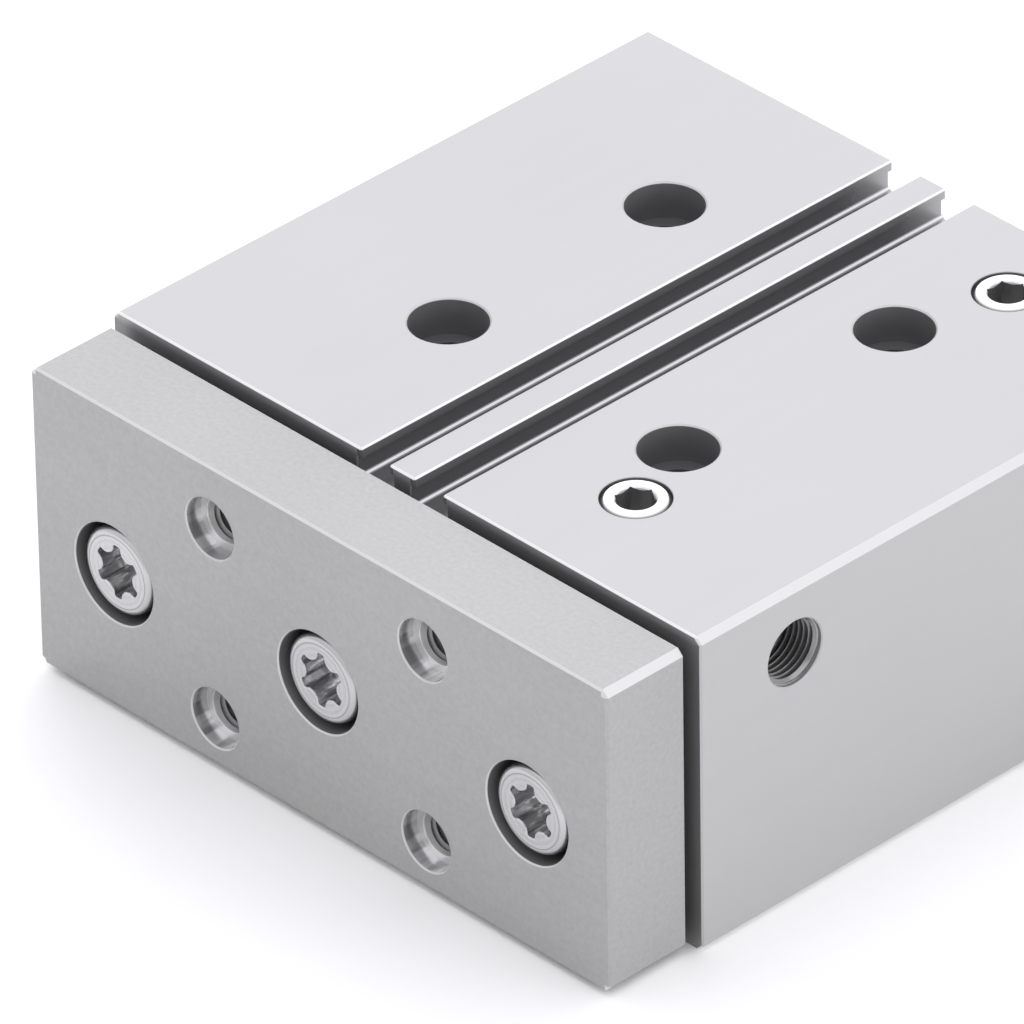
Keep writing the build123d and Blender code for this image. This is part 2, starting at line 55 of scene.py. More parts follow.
# Where the frame's holes and slots are, for the finishes and the cut threads. What ends in
# Zone or ZoneDepth bounds painted light and shade, and reaches just past the wall or floor
# that it covers.
places = {
    "bodyEdge": 0.25 * mm,
    "holeEdge": 0.2 * mm,
    "slotX": 5.0 * mm,
    "slotMouth": 2.6 * mm,
    "slotZone": 3.34 * mm,
    "slotDepth": 4.8 * mm,
    "slotZoneDepth": 4.85 * mm,
    "mountX": 21.5 * mm,
    "mountY": 20.0 * mm,
    "mountRadius": 5.5 * mm,
    "mountZone": 5.53 * mm,
    "plugX": 25.9 * mm,
    "portHeight": 38.7 * mm,
    "portFront": bodyLow.y + 17.1 * mm,
    "portRear": bodyHigh.y - 12.4 * mm,
    "portZone": 4.9 * mm,
    "portZoneDepth": 9.2 * mm,
    "counterRadius": 7.5 * mm,
    "counterZone": 7.53 * mm,
    "counterZoneDepth": 9.0 * mm,
    "toolX": 20.0 * mm,
    "toolLow": 8.2 * mm,
    "toolHigh": 38.2 * mm,
    "toolRadius": 4.5 * mm,
    "toolZone": 4.53 * mm,
    "toolDepth": 2.7 * mm,
}


def addNode(tree, kind, **settings):
    made = tree.nodes.new(kind)
    for key, value in settings.items():
        setattr(made, key, value)
    return made


def setSocket(tree, socket, value):
    if hasattr(value, "is_output"):
        tree.links.new(value, socket)
    else:
        socket.default_value = value


def calculate(tree, operation, *values):
    made = addNode(tree, "ShaderNodeMath", operation=operation)
    for socket, value in zip(made.inputs, values):
        setSocket(tree, socket, value)
    return made.outputs[0]


# A spread or a rise in a dictionary is what follows value here: the bounds that are mapped,
# and what they are mapped to where that isn't 0 and 1
def mapRange(tree, value, fromLow, fromHigh, toLow=0.0, toHigh=1.0):
    made = addNode(tree, "ShaderNodeMapRange")
    tree.links.new(value, made.inputs["Value"])
    made.inputs["From Min"].default_value = fromLow
    made.inputs["From Max"].default_value = fromHigh
    made.inputs["To Min"].default_value = toLow
    made.inputs["To Max"].default_value = toHigh
    return made.outputs["Result"]


# first and second are colours (red, green, blue) or another node's output
def blendColours(tree, amount, first, second):
    made = addNode(tree, "ShaderNodeMix", data_type="RGBA")
    tree.links.new(amount, made.inputs["Factor"])
    for socket, value in ((made.inputs["A"], first), (made.inputs["B"], second)):
        setSocket(tree, socket, value if hasattr(value, "is_output") else (*value, 1))
    return made.outputs["Result"]


def noiseOn(tree, place, scale, detail):
    made = addNode(tree, "ShaderNodeTexNoise")
    tree.links.new(place, made.inputs["Vector"])
    made.inputs["Scale"].default_value = scale
    made.inputs["Detail"].default_value = detail
    return made.outputs["Fac"]


def stretched(tree, place, scale, offset=(0, 0, 0)):
    made = addNode(tree, "ShaderNodeMapping")
    tree.links.new(place, made.inputs["Vector"])
    made.inputs["Scale"].default_value = scale
    made.inputs["Location"].default_value = offset
    return made.outputs["Vector"]


def separated(tree, place):
    made = addNode(tree, "ShaderNodeSeparateXYZ")
    tree.links.new(place, made.inputs["Vector"])
    return [made.outputs[name] for name in "XYZ"]


def apart(tree, value, middle):
    return calculate(tree, "ABSOLUTE", calculate(tree, "SUBTRACT", value, middle))


def distance(tree, first, second):
    squares = [calculate(tree, "MULTIPLY", value, value) for value in (first, second)]
    return calculate(tree, "SQRT", calculate(tree, "ADD", *squares))


# place as (radius, along, 0), so that a pattern on it runs in rings about the axis
def turnedPlace(tree, place, centre, axis):
    moved = stretched(tree, place, (1, 1, 1), [-value for value in centre])
    parts = dict(zip("XYZ", separated(tree, moved)))
    along = parts.pop(axis)
    made = addNode(tree, "ShaderNodeCombineXYZ")
    tree.links.new(distance(tree, *parts.values()), made.inputs["X"])
    tree.links.new(along, made.inputs["Y"])
    return made.outputs["Vector"]


# Masks: 1 where a value lies above, below or between its bounds, easing off just outside
def above(tree, value, low, ease=3 * fine):
    return mapRange(tree, value, low - ease, low)


def below(tree, value, high, ease=3 * fine):
    return mapRange(tree, value, high, high + ease, 1.0, 0.0)


def within(tree, value, low, high, ease=3 * fine):
    return allOf(tree, above(tree, value, low, ease), below(tree, value, high, ease))


def allOf(tree, *masks):
    total = masks[0]
    for mask in masks[1:]:
        total = calculate(tree, "MULTIPLY", total, mask)
    return total


# 0 on a flat face, rising to 1 where the surface lies on an edge. The bounds are of the
# agreement between the plain normal and one that is rounded over the width.
edgeSetup = {"samples": 6, "onEdge": 0.86, "onFace": 0.985}


def edgeMask(tree, width):
    rounded = addNode(tree, "ShaderNodeBevel", samples=edgeSetup["samples"])
    rounded.inputs["Radius"].default_value = width
    plain = addNode(tree, "ShaderNodeNewGeometry")
    facing = addNode(tree, "ShaderNodeVectorMath", operation="DOT_PRODUCT")
    tree.links.new(rounded.outputs["Normal"], facing.inputs[0])
    tree.links.new(plain.outputs["Normal"], facing.inputs[1])
    return mapRange(tree, facing.outputs["Value"], edgeSetup["onFace"], edgeSetup["onEdge"])


# How fine each noise is, and the part of its range that a finish spreads over its own
noiseSetup = {
    "markDetail": 4.0,
    "grainDetail": 2.0,
    "cloudDetail": 3.0,
    "streakDetail": 2.0,
    "toneSpread": (0.35, 0.65),
    "roughSpread": (0.3, 0.7),
    "chipSpread": (0.3, 0.6, 0.5, 1.0),
}


def streaksOn(tree, place, scale):
    return noiseOn(tree, stretched(tree, place, scale), 1.0, noiseSetup["streakDetail"])


# One finish from its own dictionary: streaks or turning marks, grain, clouds and edges that
# are worn and carry a painted highlight.
# zones gives the painted light and shade: parts of another colour, each as its mask, its
# colour and whether it shines.
def finish(name, look, zones=None):
    material = bpy.data.materials.new(name)
    material.use_nodes = True
    tree = material.node_tree
    shader = tree.nodes["Principled BSDF"]
    place = addNode(tree, "ShaderNodeTexCoord").outputs["Object"]

    markPlace = place
    if "centre" in look:
        markPlace = turnedPlace(tree, place, look["centre"], look["axis"])
    markPlace = stretched(tree, markPlace, look["markScale"])
    marks = noiseOn(tree, markPlace, 1.0, noiseSetup["markDetail"])
    grain = noiseOn(tree, place, look["grainScale"], noiseSetup["grainDetail"])
    clouds = noiseOn(tree, place, look["cloudScale"], noiseSetup["cloudDetail"])

    cloudShare = 1.0 - look["markShare"] - look["grainShare"]
    shade = calculate(
        tree,
        "ADD",
        calculate(tree, "MULTIPLY", marks, look["markShare"]),
        calculate(tree, "MULTIPLY", clouds, cloudShare),
    )
    shade = calculate(tree, "MULTIPLY_ADD", grain, look["grainShare"], shade)
    tone = mapRange(tree, shade, *noiseSetup["toneSpread"])
    colour = blendColours(tree, tone, look["dark"], look["light"])
    roughRange = (look["roughLow"], look["roughHigh"])
    roughness = mapRange(tree, marks, *noiseSetup["roughSpread"], *roughRange)
    # edges worn in patches, which also carry a painted highlight
    if "edge" in look:
        chipped = mapRange(tree, grain, *noiseSetup["chipSpread"])
        edgeWearAndHighlight = allOf(tree, edgeMask(tree, look["edgeWidth"]), chipped)
        colour = blendColours(tree, edgeWearAndHighlight, colour, look["edge"])
    if zones:
        # each zone paints its light or shade into the colour, and may make the surface smoother
        for mask, zoneColour, shines in zones(tree, place, look):
            colour = blendColours(tree, mask, colour, zoneColour)
            if shines:
                smoother = mapRange(tree, mask, 0.0, 1.0, 1.0, look["shine"])
                roughness = calculate(tree, "MULTIPLY", roughness, smoother)
    tree.links.new(colour, shader.inputs["Base Color"])
    tree.links.new(roughness, shader.inputs["Roughness"])
    shader.inputs["Metallic"].default_value = look["metal"]
    shader.inputs["Specular IOR Level"].default_value = look["specular"]

    height = calculate(
        tree,
        "ADD",
        calculate(tree, "MULTIPLY", marks, look["markHeight"]),
        calculate(tree, "MULTIPLY", grain, look["grainHeight"]),
    )
    bump = addNode(tree, "ShaderNodeBump")
    bump.inputs["Strength"].default_value = look["bump"]
    bump.inputs["Distance"].default_value = look["bumpDepth"]
    tree.links.new(height, bump.inputs["Height"])
    tree.links.new(bump.outputs["Normal"], shader.inputs["Normal"])
    return material


def wear(nodeName, material):
    piece = nodes[nodeName]
    piece.data.materials.clear()
    piece.data.materials.append(material)


# Anodised aluminium, for the body and the plate
aluminiumLook = {
    "markHeight": 0.6,
    "grainHeight": 0.5,
    "cloudScale": 22,
    "roughLow": 0.44,
    "roughHigh": 0.49,
    "metal": 0.62,
    "specular": 0.5,
    "bump": 0.06,
    "bumpDepth": 0.05 * mm,
    "shine": 0.5,
    # painted highlight on the wide bevels along the long edges
    "longEdge": 0.98 * mm,
    "longEdgePaintedHighlight": (0.64, 0.64, 0.64),
    # painted shade on the faces in the gap between the body and the plate
    "gapFaceSkin": 0.004 * mm,
    "gapPaintedShade": (0.25, 0.25, 0.252),
}


# Painted highlights on the wide bevels along the long edges, and on the narrow ones at top
# and bottom of both faces
def edgeZones(tree, place, look, low, high):
    x, y, z = separated(tree, place)
    middle = (low + high) / 2
    half = (high - low) / 2
    across = apart(tree, x, middle.x)
    along = apart(tree, y, middle.y)
    upwards = apart(tree, z, middle.z)
    longEdges = allOf(
        tree,
        above(tree, across, half.x - look["longEdge"]),
        above(tree, upwards, half.z - look["longEdge"]),
    )
    faceEdges = allOf(
        tree,
        within(tree, along, half.y - look["faceEdge"], half.y - fine, fine),
        above(tree, upwards, half.z - look["faceEdge"]),
    )
    return [
        (longEdges, look["longEdgePaintedHighlight"], False),
        (faceEdges, look["faceEdgePaintedHighlight"], False),
    ]


# The narrow bevel round a hole's mouth. depth is how far the place is under the hole's face.
def rimOf(tree, fromAxis, radius, depth):
    return allOf(
        tree,
        within(tree, fromAxis, radius - fine, radius + places["holeEdge"] + fine),
        within(tree, depth, fine, places["holeEdge"] + fine, fine),
    )


# The drawn body is streaked along Y.
bodyLook = dict(
    aluminiumLook,
    dark=(0.446, 0.444, 0.448),
    light=(0.465, 0.463, 0.467),
    markScale=(900, 14, 900),
    markShare=0.40,
    grainScale=3200,
    grainShare=0.12,
    # painted highlight on the narrow bevels at the top and bottom of the faces and slot mouths
    faceEdge=0.27 * mm,
    faceEdgePaintedHighlight=(0.84, 0.84, 0.84),
    # painted shade in the T-slots, lighter towards the rear ends, and a painted highlight along
    # the floor's corners
    slotPaintedShade=(0.235, 0.235, 0.238),
    slotShadeTop=0.3 * mm,
    slotFade=9.0 * mm,
    slotFadeTo=0.25,
    floorLineFrom=2.8 * mm,
    floorLine=(0.16 * mm, 0.36 * mm),
    floorLineEase=0.04 * mm,
    floorLinePaintedHighlight=(0.80, 0.80, 0.80),
    # painted shade in the mounting holes, lighter towards the mouth
    mountPaintedShade=(0.21, 0.21, 0.213),
    mountFade=4.5 * mm,
    mountFadeTo=0.74,
    # painted highlight on the rims of the holes
    rimPaintedShading=(0.56, 0.56, 0.56),
    # painted shade inside the ports
    portPaintedShade=(0.23, 0.23, 0.233),
    plugShadeTop=0.12 * mm,
    portMouth=0.9 * mm,
    portMouthEase=0.15 * mm,
    # the painted shade in the gap fades out near the top of the body's front face
    gapShadeFade=(1.5 * mm, 0.3 * mm),
    gapShadeFadeTo=0.2,
)


# Painted shade in the slots, fading towards their rear ends where light comes in, with a
# painted highlight along the floor's corners and on the narrow bevels of the mouths
def slotZones(tree, place, look):
    x, y, z = separated(tree, place)
    top = bodyHigh.z
    floorLow, floorHigh = [top - places["slotDepth"] + rise for rise in look["floorLine"]]
    fromSlot = apart(tree, calculate(tree, "ABSOLUTE", x), places["slotX"])
    fadeFrom = bodyHigh.y - look["slotFade"]
    inSlot = allOf(
        tree,
        below(tree, fromSlot, places["slotZone"]),
        within(tree, z, top - places["slotZoneDepth"], top - look["slotShadeTop"]),
        mapRange(tree, y, fadeFrom, bodyHigh.y, 1.0, look["slotFadeTo"]),
    )
    floorLine = allOf(
        tree,
        within(tree, fromSlot, look["floorLineFrom"], places["slotZone"]),
        within(tree, z, floorLow, floorHigh, look["floorLineEase"]),
    )
    mouthHigh = places["slotMouth"] + places["bodyEdge"] - fine
    mouthEdges = allOf(
        tree,
        within(tree, fromSlot, places["slotMouth"] - 2 * fine, mouthHigh, fine),
        within(tree, z, top - places["bodyEdge"] + fine, top - fine, fine),
    )
    return [
        (inSlot, look["slotPaintedShade"], True),
        (floorLine, look["floorLinePaintedHighlight"], False),
        (mouthEdges, look["faceEdgePaintedHighlight"], False),
    ]


# The four mounting holes: painted shade on their walls, darker below than at the mouth, and
# a painted highlight on their rims
def mountZones(tree, place, look):
    x, y, z = separated(tree, place)
    fromMiddle = apart(tree, y, bodyMiddle)
    fromHole = distance(
        tree,
        apart(tree, calculate(tree, "ABSOLUTE", x), places["mountX"]),
        apart(tree, fromMiddle, places["mountY"]),
    )
    fadeFrom = bodyHigh.z - look["mountFade"]
    inHole = allOf(
        tree,
        below(tree, fromHole, places["mountZone"]),
        within(tree, z, bodyLow.z, bodyHigh.z - look["faceEdge"]),
        mapRange(tree, z, fadeFrom, bodyHigh.z, 1.0, look["mountFadeTo"]),
    )
    rim = rimOf(
        tree, fromHole, places["mountRadius"], calculate(tree, "SUBTRACT", bodyHigh.z, z)
    )
    return [(inHole, look["mountPaintedShade"], False), (rim, look["rimPaintedShading"], False)]


# Painted shade inside the ports on top, which the plugs close, and inside the open ports on
# the right side
def portZones(tree, place, look):
    x, y, z = separated(tree, place)
    under = bodyHigh.z - places["portZoneDepth"]
    behind = bodyHigh.x - places["portZoneDepth"]
    mouth = bodyHigh.x - look["portMouth"]
    underTop = within(tree, z, under, bodyHigh.z - look["plugShadeTop"])
    behindSide = within(tree, x, behind, mouth, look["portMouthEase"])
    fromPlug = apart(tree, x, places["plugX"])
    fromPort = apart(tree, z, places["portHeight"])
    zones = []
    for end in ("portFront", "portRear"):
        along = apart(tree, y, places[end])
        for offset, depth in ((fromPlug, underTop), (fromPort, behindSide)):
            near = below(tree, distance(tree, offset, along), places["portZone"])
            zones.append((allOf(tree, near, depth), look["portPaintedShade"], True))
    return zones


def bodyZones(tree, place, look):
    y, z = separated(tree, place)[1:]
    # Painted shade on the body's front face, in the gap behind the plate, fading out near the top
    fadeFrom, fadeTo = [bodyHigh.z - drop for drop in look["gapShadeFade"]]
    gapShadeMask = allOf(
        tree,
        below(tree, y, bodyLow.y + look["gapFaceSkin"], look["gapFaceSkin"] / 2),
        mapRange(tree, z, fadeFrom, fadeTo, 1.0, look["gapShadeFadeTo"]),
    )
    zones = slotZones(tree, place, look) + mountZones(tree, place, look)
    zones += portZones(tree, place, look) + edgeZones(tree, place, look, bodyLow, bodyHigh)
    return zones + [(gapShadeMask, look["gapPaintedShade"], False)]


housingFinish = finish("drawnAluminium", bodyLook, bodyZones)
wear("housing", housingFinish)
print("body finished")

# The milled plate is streaked across X.
plateLook = dict(
    aluminiumLook,
    dark=(0.358, 0.358, 0.356),
    light=(0.416, 0.416, 0.414),
    markScale=(16, 900, 1100),
    markShare=0.25,
    grainScale=1500,
    grainShare=0.45,
    # painted highlight on the narrow bevels at the top and bottom of the faces
    faceEdge=0.31 * mm,
    faceEdgePaintedHighlight=(0.66, 0.66, 0.66),
    # painted highlight on the rims of the holes
    rimPaintedShading=(0.60, 0.60, 0.60),
    shadeStart=0.28 * mm,
    # painted shade in the counterbores
    counterPaintedShade=(0.25, 0.25, 0.252),
    # painted reflection over the tool recesses; painted shade in a band and in the threads;
    # painted highlights in streaks and on the ledge
    recessPaintedReflection=(0.45, 0.45, 0.45),
    recessWall=4.2 * mm,
    recessWallEase=0.15 * mm,
    recessPaintedShade=(0.20, 0.20, 0.202),
    paintedShadeBand=(0.95 * mm, 1.35 * mm),
    darkBandEase=0.5 * mm,
    shadeBandRise=(-0.6, 0.0, 0.1, 0.85),
    recessPaintedHighlight=(0.90, 0.90, 0.90),
    recessStreaks=(430, 60, 430),
    streakSpread=(0.46, 0.58),
    highlightRise=(0.2, -0.5, 0.05, 1.0),
    ledgePaintedHighlight=(0.74, 0.74, 0.74),
    ledge=(3.3 * mm, 4.45 * mm),
    ledgeEase=0.1 * mm,
    ledgeHalf=0.02 * mm,
    threadPaintedShade=(0.25, 0.25, 0.252),
    threadZone=3.2 * mm,
    threadStart=0.05 * mm,
    threadFade=3.5 * mm,
    threadFadeFrom=0.35,
)


# Painted shade in the three counterbores, and a painted highlight on their rims
def counterboreZones(tree, place, look):
    x, y, z = separated(tree, place)
    depth = calculate(tree, "SUBTRACT", y, plateLow.y)
    side = middleOf("yoke_screw_right")
    centre = middleOf("yoke_screw_centre")
    fromSide = distance(
        tree, apart(tree, calculate(tree, "ABSOLUTE", x), side.x), apart(tree, z, side.z)
    )
    fromCentre = distance(tree, x, apart(tree, z, centre.z))
    nearest = calculate(tree, "MINIMUM", fromSide, fromCentre)
    inCounter = allOf(
        tree,
        below(tree, nearest, places["counterZone"]),
        within(tree, depth, look["shadeStart"], places["counterZoneDepth"]),
    )
    rim = rimOf(tree, nearest, places["counterRadius"], depth)
    return [(inCounter, look["counterPaintedShade"], False), (rim, look["rimPaintedShading"], False)]


# The four tool holes: a turned recess lightened by a painted reflection, a band of painted
# shade in its upper half, painted highlights in streaks like tool marks in its lower half, a
# painted highlight on the ledge and painted shade in the thread
def toolHoleZones(tree, place, look):
    x, y, z = separated(tree, place)
    depth = calculate(tree, "SUBTRACT", y, plateLow.y)
    threadTop = places["toolDepth"]
    middleHeight = (places["toolLow"] + places["toolHigh"]) / 2
    fromRow = apart(tree, apart(tree, z, middleHeight), places["toolHigh"] - middleHeight)
    fromColumn = apart(tree, calculate(tree, "ABSOLUTE", x), places["toolX"])
    fromHole = distance(tree, fromColumn, fromRow)
    # above 0 in the upper half of each hole, below 0 in the lower half
    rowTurn = 2 * pi / (places["toolHigh"] - places["toolLow"])
    fromLowRow = calculate(tree, "SUBTRACT", z, places["toolLow"])
    upside = calculate(tree, "SINE", calculate(tree, "MULTIPLY", fromLowRow, rowTurn))

    inRecess = allOf(
        tree,
        below(tree, fromHole, places["toolZone"]),
        within(tree, depth, look["shadeStart"], threadTop + look["ledgeEase"]),
    )
    onWall = allOf(
        tree, inRecess, above(tree, fromHole, look["recessWall"], look["recessWallEase"])
    )
    streaks = streaksOn(tree, place, look["recessStreaks"])
    paintedHighlightStreaks = allOf(
        tree,
        onWall,
        mapRange(tree, streaks, *look["streakSpread"]),
        mapRange(tree, upside, *look["highlightRise"]),
    )
    paintedShadeBand = allOf(
        tree,
        onWall,
        within(tree, depth, *look["paintedShadeBand"], look["darkBandEase"]),
        mapRange(tree, upside, *look["shadeBandRise"]),
    )
    onLedge = allOf(
        tree,
        within(tree, fromHole, *look["ledge"], look["ledgeEase"]),
        below(tree, apart(tree, depth, threadTop), look["ledgeHalf"], look["ledgeHalf"]),
    )
    inThread = allOf(
        tree,
        below(tree, fromHole, look["threadZone"]),
        mapRange(
            tree, depth, threadTop, threadTop + look["threadFade"], look["threadFadeFrom"], 1.0
        ),
        above(tree, depth, threadTop + look["threadStart"]),
    )
    rim = rimOf(tree, fromHole, places["toolRadius"], depth)
    return [
        (inRecess, look["recessPaintedReflection"], True),
        (paintedHighlightStreaks, look["recessPaintedHighlight"], False),
        (paintedShadeBand, look["recessPaintedShade"], False),
        (onLedge, look["ledgePaintedHighlight"], False),
        (inThread, look["threadPaintedShade"], False),
        (rim, look["rimPaintedShading"], False),
    ]


def plateZones(tree, place, look):
    y = separated(tree, place)[1]
    # Painted shade on the plate's back face, in the gap in front of the body
    gapShadeMask = above(tree, y, plateHigh.y - look["gapFaceSkin"], look["gapFaceSkin"] / 2)
    zones = counterboreZones(tree, place, look) + toolHoleZones(tree, place, look)
    zones += edgeZones(tree, place, look, plateLow, plateHigh)
    return zones + [(gapShadeMask, look["gapPaintedShade"], False)]


plateFinish = finish("milledAluminium", plateLook, plateZones)
wear("yoke_plate", plateFinish)
print("plate finished")


# A piece turned on a lathe carries rings about its own axis.
def wearTurned(nodeName, look, axis="Y", zones=None):
    low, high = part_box(nodeName)
    turned = dict(look, centre=middleOf(nodeName), axis=axis, low=low, high=high)
    wear(nodeName, finish(nodeName + "Finish", turned, zones))


# Turned steel with worn edges that carry a painted highlight, which the other metals start from
steelLook = {
    "markScale": (2600, 40, 1),
    "markShare": 0.6,
    "markHeight": 0.7,
    "grainScale": 5200,
    "grainShare": 0.1,
    "grainHeight": 0.3,
    "cloudScale": 90,
    "edgeWidth": 0.25 * mm,
    "metal": 0.88,
    "specular": 0.5,
    "bump": 0.12,
    "bumpDepth": 0.04 * mm,
}

# The yoke screws: painted shade on the rim, a thin dark ring on the face, and painted shade
# with painted glints in streaks in the six-lobe recess
screwLook = dict(
    steelLook,
    dark=(0.46, 0.46, 0.465),
    light=(0.60, 0.60, 0.605),
    edge=(0.86, 0.86, 0.865),
    roughLow=0.22,
    roughHigh=0.34,
    shine=0.6,
    # painted shade with painted glints in streaks in the six-lobe socket
    socketRadius=4.2 * mm,
    socketTop=0.2 * mm,
    socketEase=0.08 * mm,
    socketPaintedShade=(0.44, 0.44, 0.445),
    socketPaintedGlints=(0.95, 0.95, 0.955),
    socketStreaks=(760, 300, 760),
    streakSpread=(0.50, 0.60),
    ringRadius=5.35 * mm,
    ringHalf=0.02 * mm,
    ringEase=0.12 * mm,
    ringDepth=0.3 * mm,
    ringShade=(0.30, 0.30, 0.303),
    # painted shade on the outer rim of the head
    rimRadius=6.15 * mm,
    rimEase=0.3 * mm,
    rimPaintedShading=(0.26, 0.26, 0.263),
)


# Painted shade in the socket and on the rim, with painted glints in streaks
def screwZones(tree, place, look):
    x, y, z = separated(tree, place)
    centre = look["centre"]
    fromAxis = distance(tree, apart(tree, x, centre.x), apart(tree, z, centre.z))
    depth = calculate(tree, "SUBTRACT", y, look["low"].y)
    inSocket = allOf(
        tree,
        below(tree, fromAxis, look["socketRadius"]),
        above(tree, depth, look["socketTop"], look["socketEase"]),
    )
    streaks = streaksOn(tree, place, look["socketStreaks"])
    paintedHighlightStreaks = allOf(tree, inSocket, mapRange(tree, streaks, *look["streakSpread"]))
    onRing = allOf(
        tree,
        below(tree, apart(tree, fromAxis, look["ringRadius"]), look["ringHalf"], look["ringEase"]),
        below(tree, depth, look["ringDepth"]),
    )
    onRim = above(tree, fromAxis, look["rimRadius"] + look["rimEase"], look["rimEase"])
    return [
        (onRim, look["rimPaintedShading"], False),
        (onRing, look["ringShade"], False),
        (inSocket, look["socketPaintedShade"], True),
        (paintedHighlightStreaks, look["socketPaintedGlints"], False),
    ]


for side in ("centre", "left", "right"):
    wearTurned("yoke_screw_" + side, screwLook, zones=screwZones)

# The bright plugs in the top ports, with painted shade in the hex socket and round the rim
plugLook = dict(
    steelLook,
    dark=(0.66, 0.66, 0.65),
    light=(0.80, 0.80, 0.79),
    edge=(0.95, 0.95, 0.94),
    markScale=(3200, 60, 1),
    roughLow=0.20,
    roughHigh=0.32,
    metal=0.8,
    shine=0.6,
    # painted shade in the hex socket
    socketRadius=3.0 * mm,
    socketTop=0.25 * mm,
    socketEase=0.1 * mm,
    socketPaintedShade=(0.30, 0.30, 0.30),
    # painted shade round the plug's rim
    rimRadius=4.25 * mm,
    rimEase=0.2 * mm,
    rimPaintedShading=(0.20, 0.20, 0.20),
)


# Painted shade in the hex socket and round the rim
def plugZones(tree, place, look):
    x, y, z = separated(tree, place)
    centre = look["centre"]
    fromAxis = distance(tree, apart(tree, x, centre.x), apart(tree, y, centre.y))
    depth = calculate(tree, "SUBTRACT", look["high"].z, z)
    inSocket = allOf(
        tree,
        below(tree, fromAxis, look["socketRadius"]),
        above(tree, depth, look["socketTop"], look["socketEase"]),
    )
    onRim = above(tree, fromAxis, look["rimRadius"] + look["rimEase"], look["rimEase"])
    return [(onRim, look["rimPaintedShading"], False), (inSocket, look["socketPaintedShade"], True)]


for end in ("front", "rear"):
    wearTurned("port_plug_" + end, plugLook, "Z", plugZones)

capLook = dict(
    steelLook,
    dark=(0.45, 0.455, 0.46),
    light=(0.56, 0.565, 0.57),
    edge=(0.86, 0.86, 0.865),
    markScale=(1500, 30, 1),
    cloudScale=45,
    roughLow=0.30,
    roughHigh=0.44,
)
for end in ("front", "rear"):
    wearTurned(end + "_cap", capLook)
    wearTurned("piston_" + end, capLook)

springLook = dict(
    steelLook,
    dark=(0.13, 0.13, 0.135),
    light=(0.21, 0.21, 0.215),
    edge=(0.46, 0.46, 0.46),
    markScale=(700, 200, 1),
    roughLow=0.34,
    roughHigh=0.52,
)
for end in ("front", "rear"):
    wearTurned(end + "_retaining_ring", springLook)

rodLook = dict(
    steelLook,
    dark=(0.52, 0.525, 0.53),
    light=(0.60, 0.605, 0.61),
    edge=(0.86, 0.86, 0.865),
    markScale=(60, 5200, 1),
    markShare=0.5,
    roughLow=0.10,
    roughHigh=0.17,
    metal=1.0,
    bump=0.05,
)
for nodeName in ("piston_rod", "guide_rod_left", "guide_rod_right", "piston_screw"):
    wearTurned(nodeName, rodLook)

bronzeLook = dict(
    steelLook,
    dark=(0.36, 0.22, 0.095),
    light=(0.52, 0.335, 0.15),
    edge=(0.72, 0.52, 0.28),
    markScale=(1200, 60, 1),
    grainScale=2600,
    grainHeight=0.8,
    roughLow=0.36,
    roughHigh=0.50,
)
bushes = [f"guide_bush_{side}_{end}" for side in ("left", "right") for end in ("front", "rear")]
for nodeName in ["rod_bush"] + bushes:
    wearTurned(nodeName, bronzeLook)

rubberLook = {
    "dark": (0.010, 0.010, 0.011),
    "light": (0.030, 0.030, 0.031),
    "markScale": (500, 900, 1),
    "markShare": 0.3,
    "markHeight": 0.3,
    "grainScale": 3000,
    "grainShare": 0.2,
    "grainHeight": 0.9,
    "cloudScale": 120,
    "roughLow": 0.48,
    "roughHigh": 0.66,
    "metal": 0.0,
    "specular": 0.4,
    "bump": 0.22,
    "bumpDepth": 0.06 * mm,
}
seals = ["front_cap_seal", "rear_cap_seal", "rod_wiper", "rod_seal"]
seals += ["piston_seal_front", "piston_seal_rear", "guide_wiper_left", "guide_wiper_right"]
for nodeName in seals:
    wearTurned(nodeName, rubberLook)
cushionLook = dict(rubberLook, dark=(0.10, 0.022, 0.014), light=(0.17, 0.040, 0.024))
for end in ("front", "rear"):
    wearTurned(end + "_cushion", cushionLook)
plasticLook = dict(rubberLook, dark=(0.045, 0.047, 0.05), light=(0.085, 0.088, 0.09), bump=0.1)
wearTurned("piston_wear_ring", plasticLook)
magnetLook = dict(plasticLook, dark=(0.030, 0.027, 0.025), light=(0.060, 0.055, 0.05))
wearTurned("piston_magnet", magnetLook)
print("turned pieces, seals and bushes finished")


# Goes into edit mode with only the wanted vertices selected
def pick(piece, wanted):
    bpy.ops.object.mode_set(mode="OBJECT")
    for group in (piece.data.polygons, piece.data.edges, piece.data.vertices):
        group.foreach_set("select", [False] * len(group))
    for vertex in piece.data.vertices:
        vertex.select = wanted(vertex.co)
    bpy.ops.object.mode_set(mode="EDIT")
    bpy.ops.mesh.select_mode(type="VERT")


# What all cut threads share. Each adds its wall and crest radius, pitch, turns, steps in a
# turn, and mouth, the radius of the hole's countersink at its face.
cutThread = {
    "bury": 0.04 * mm,
    "rootShare": 0.86,
    "crestShare": 0.14,
    "merge": 0.001 * mm,
    "reach": 2.0 * mm,
    "coneSides": 64,
    "smoothAngle": radians(35),
}


